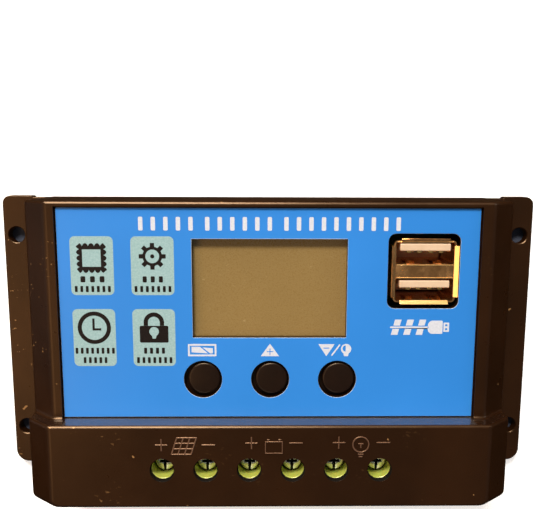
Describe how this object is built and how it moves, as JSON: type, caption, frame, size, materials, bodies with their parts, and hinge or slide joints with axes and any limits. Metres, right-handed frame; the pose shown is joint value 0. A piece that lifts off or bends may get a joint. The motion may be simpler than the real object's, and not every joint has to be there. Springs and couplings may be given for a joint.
{
  "type": "charge controller",
  "caption": "Wall-mounted charge controller: flat case with mounting ears, blue panel, display, push buttons, stacked USB socket and a row of screw terminals.",
  "frame": {"origin": "centre of the back face, which is the bottom of the bounding box", "axes": "+X across the case towards the USB socket, +Y up the face away from the terminals, +Z out of the face"},
  "size_m": [0.1334, 0.07, 0.035],
  "materials": {
    "case": "black ABS, fine satin texture, warm brown sheen in the light",
    "panel_film": "blue printed film, satin",
    "display_glass": "unpowered liquid crystal display, olive brown behind clear glass",
    "white_plastic": "natural white moulded plastic",
    "ribbon": "amber film",
    "board": "green solder mask on fibreglass board",
    "plated_steel": "nickel plated sheet steel, bright",
    "socket_plastic": "cream moulded socket insulator",
    "terminal_plastic": "yellow-green moulded terminal housing",
    "ferrite": "sintered ferrite",
    "chip": "black moulded package",
    "copper": "tinned copper",
    "button": "black moulded cap, fine texture",
    "screw_steel": "zinc plated steel",
    "brass": "nickel plated brass cage",
    "can_sleeve": "dark shrink sleeve over an aluminium can"
  },
  "bodies": {
    "case": {"front_cover": "case", "base_plate": "case", "panel_label": "panel_film", "lcd_glass": "display_glass", "lcd_holder": "white_plastic", "lcd_backlight": "white_plastic", "lcd_ribbon": "ribbon", "main_board": "board", "usb_shell": "plated_steel", "usb_insulator": "socket_plastic", "terminal_block": "terminal_plastic", "usb_choke": "ferrite", "usb_regulator": "chip", "controller_chip": "chip", "shunt_resistor": "copper", "switch_base_1": "plated_steel", "switch_base_2": "plated_steel", "switch_base_3": "plated_steel", "terminal_bar_1": "copper", "terminal_bar_2": "copper", "terminal_bar_3": "copper", "terminal_bar_4": "copper", "terminal_bar_5": "copper", "terminal_bar_6": "copper", "mosfet_1": "chip", "case_screw_1": "screw_steel", "board_screw_1": "screw_steel", "mosfet_2": "chip", "case_screw_2": "screw_steel", "board_screw_2": "screw_steel", "mosfet_3": "chip", "case_screw_3": "screw_steel", "board_screw_3": "screw_steel", "mosfet_4": "chip", "case_screw_4": "screw_steel", "board_screw_4": "screw_steel", "capacitor_1": "can_sleeve", "capacitor_2": "can_sleeve"},
    "button_1": {"button_cap_1": "button", "switch_plunger_1": "chip"},
    "button_2": {"button_cap_2": "button", "switch_plunger_2": "chip"},
    "button_3": {"button_cap_3": "button", "switch_plunger_3": "chip"},
    "clamp_screw_1": {"terminal_screw_1": "screw_steel"},
    "clamp_cage_1": {"clamp_cage_1": "brass"},
    "clamp_screw_2": {"terminal_screw_2": "screw_steel"},
    "clamp_cage_2": {"clamp_cage_2": "brass"},
    "clamp_screw_3": {"terminal_screw_3": "screw_steel"},
    "clamp_cage_3": {"clamp_cage_3": "brass"},
    "clamp_screw_4": {"terminal_screw_4": "screw_steel"},
    "clamp_cage_4": {"clamp_cage_4": "brass"},
    "clamp_screw_5": {"terminal_screw_5": "screw_steel"},
    "clamp_cage_5": {"clamp_cage_5": "brass"},
    "clamp_screw_6": {"terminal_screw_6": "screw_steel"},
    "clamp_cage_6": {"clamp_cage_6": "brass"}
  },
  "joints": [
    {"name": "button_1_press", "type": "slide", "parent": "case", "child": "button_1", "axis": [0, 0, -1], "range_m": [0, 0.0003], "stiffness_N_per_m": 5000},
    {"name": "button_2_press", "type": "slide", "parent": "case", "child": "button_2", "axis": [0, 0, -1], "range_m": [0, 0.0003], "stiffness_N_per_m": 5000},
    {"name": "button_3_press", "type": "slide", "parent": "case", "child": "button_3", "axis": [0, 0, -1], "range_m": [0, 0.0003], "stiffness_N_per_m": 5000},
    {"name": "clamp_screw_1_turn", "type": "hinge", "parent": "case", "child": "clamp_screw_1", "pos_m": [-0.0238, -0.0237, 0.027], "axis": [0, 0, 1], "range_deg": [-2700, 0]},
    {"name": "clamp_screw_2_turn", "type": "hinge", "parent": "case", "child": "clamp_screw_2", "pos_m": [-0.0142, -0.0237, 0.027], "axis": [0, 0, 1], "range_deg": [-2700, 0]},
    {"name": "clamp_screw_3_turn", "type": "hinge", "parent": "case", "child": "clamp_screw_3", "pos_m": [-0.0046, -0.0237, 0.027], "axis": [0, 0, 1], "range_deg": [-2700, 0]},
    {"name": "clamp_screw_4_turn", "type": "hinge", "parent": "case", "child": "clamp_screw_4", "pos_m": [0.005, -0.0237, 0.027], "axis": [0, 0, 1], "range_deg": [-2700, 0]},
    {"name": "clamp_screw_5_turn", "type": "hinge", "parent": "case", "child": "clamp_screw_5", "pos_m": [0.0146, -0.0237, 0.027], "axis": [0, 0, 1], "range_deg": [-2700, 0]},
    {"name": "clamp_screw_6_turn", "type": "hinge", "parent": "case", "child": "clamp_screw_6", "pos_m": [0.0242, -0.0237, 0.027], "axis": [0, 0, 1], "range_deg": [-2700, 0]},
    {"name": "clamp_cage_1_lift", "type": "slide", "parent": "case", "child": "clamp_cage_1", "axis": [0, 0, 1], "range_m": [0, 0.0045]},
    {"name": "clamp_cage_2_lift", "type": "slide", "parent": "case", "child": "clamp_cage_2", "axis": [0, 0, 1], "range_m": [0, 0.0045]},
    {"name": "clamp_cage_3_lift", "type": "slide", "parent": "case", "child": "clamp_cage_3", "axis": [0, 0, 1], "range_m": [0, 0.0045]},
    {"name": "clamp_cage_4_lift", "type": "slide", "parent": "case", "child": "clamp_cage_4", "axis": [0, 0, 1], "range_m": [0, 0.0045]},
    {"name": "clamp_cage_5_lift", "type": "slide", "parent": "case", "child": "clamp_cage_5", "axis": [0, 0, 1], "range_m": [0, 0.0045]},
    {"name": "clamp_cage_6_lift", "type": "slide", "parent": "case", "child": "clamp_cage_6", "axis": [0, 0, 1], "range_m": [0, 0.0045]}
  ],
  "couplings": [
    {"joint": "clamp_screw_1_turn", "follows": "clamp_cage_1_lift", "rad_per_m": -10472},
    {"joint": "clamp_screw_2_turn", "follows": "clamp_cage_2_lift", "rad_per_m": -10472},
    {"joint": "clamp_screw_3_turn", "follows": "clamp_cage_3_lift", "rad_per_m": -10472},
    {"joint": "clamp_screw_4_turn", "follows": "clamp_cage_4_lift", "rad_per_m": -10472},
    {"joint": "clamp_screw_5_turn", "follows": "clamp_cage_5_lift", "rad_per_m": -10472},
    {"joint": "clamp_screw_6_turn", "follows": "clamp_cage_6_lift", "rad_per_m": -10472}
  ]
}
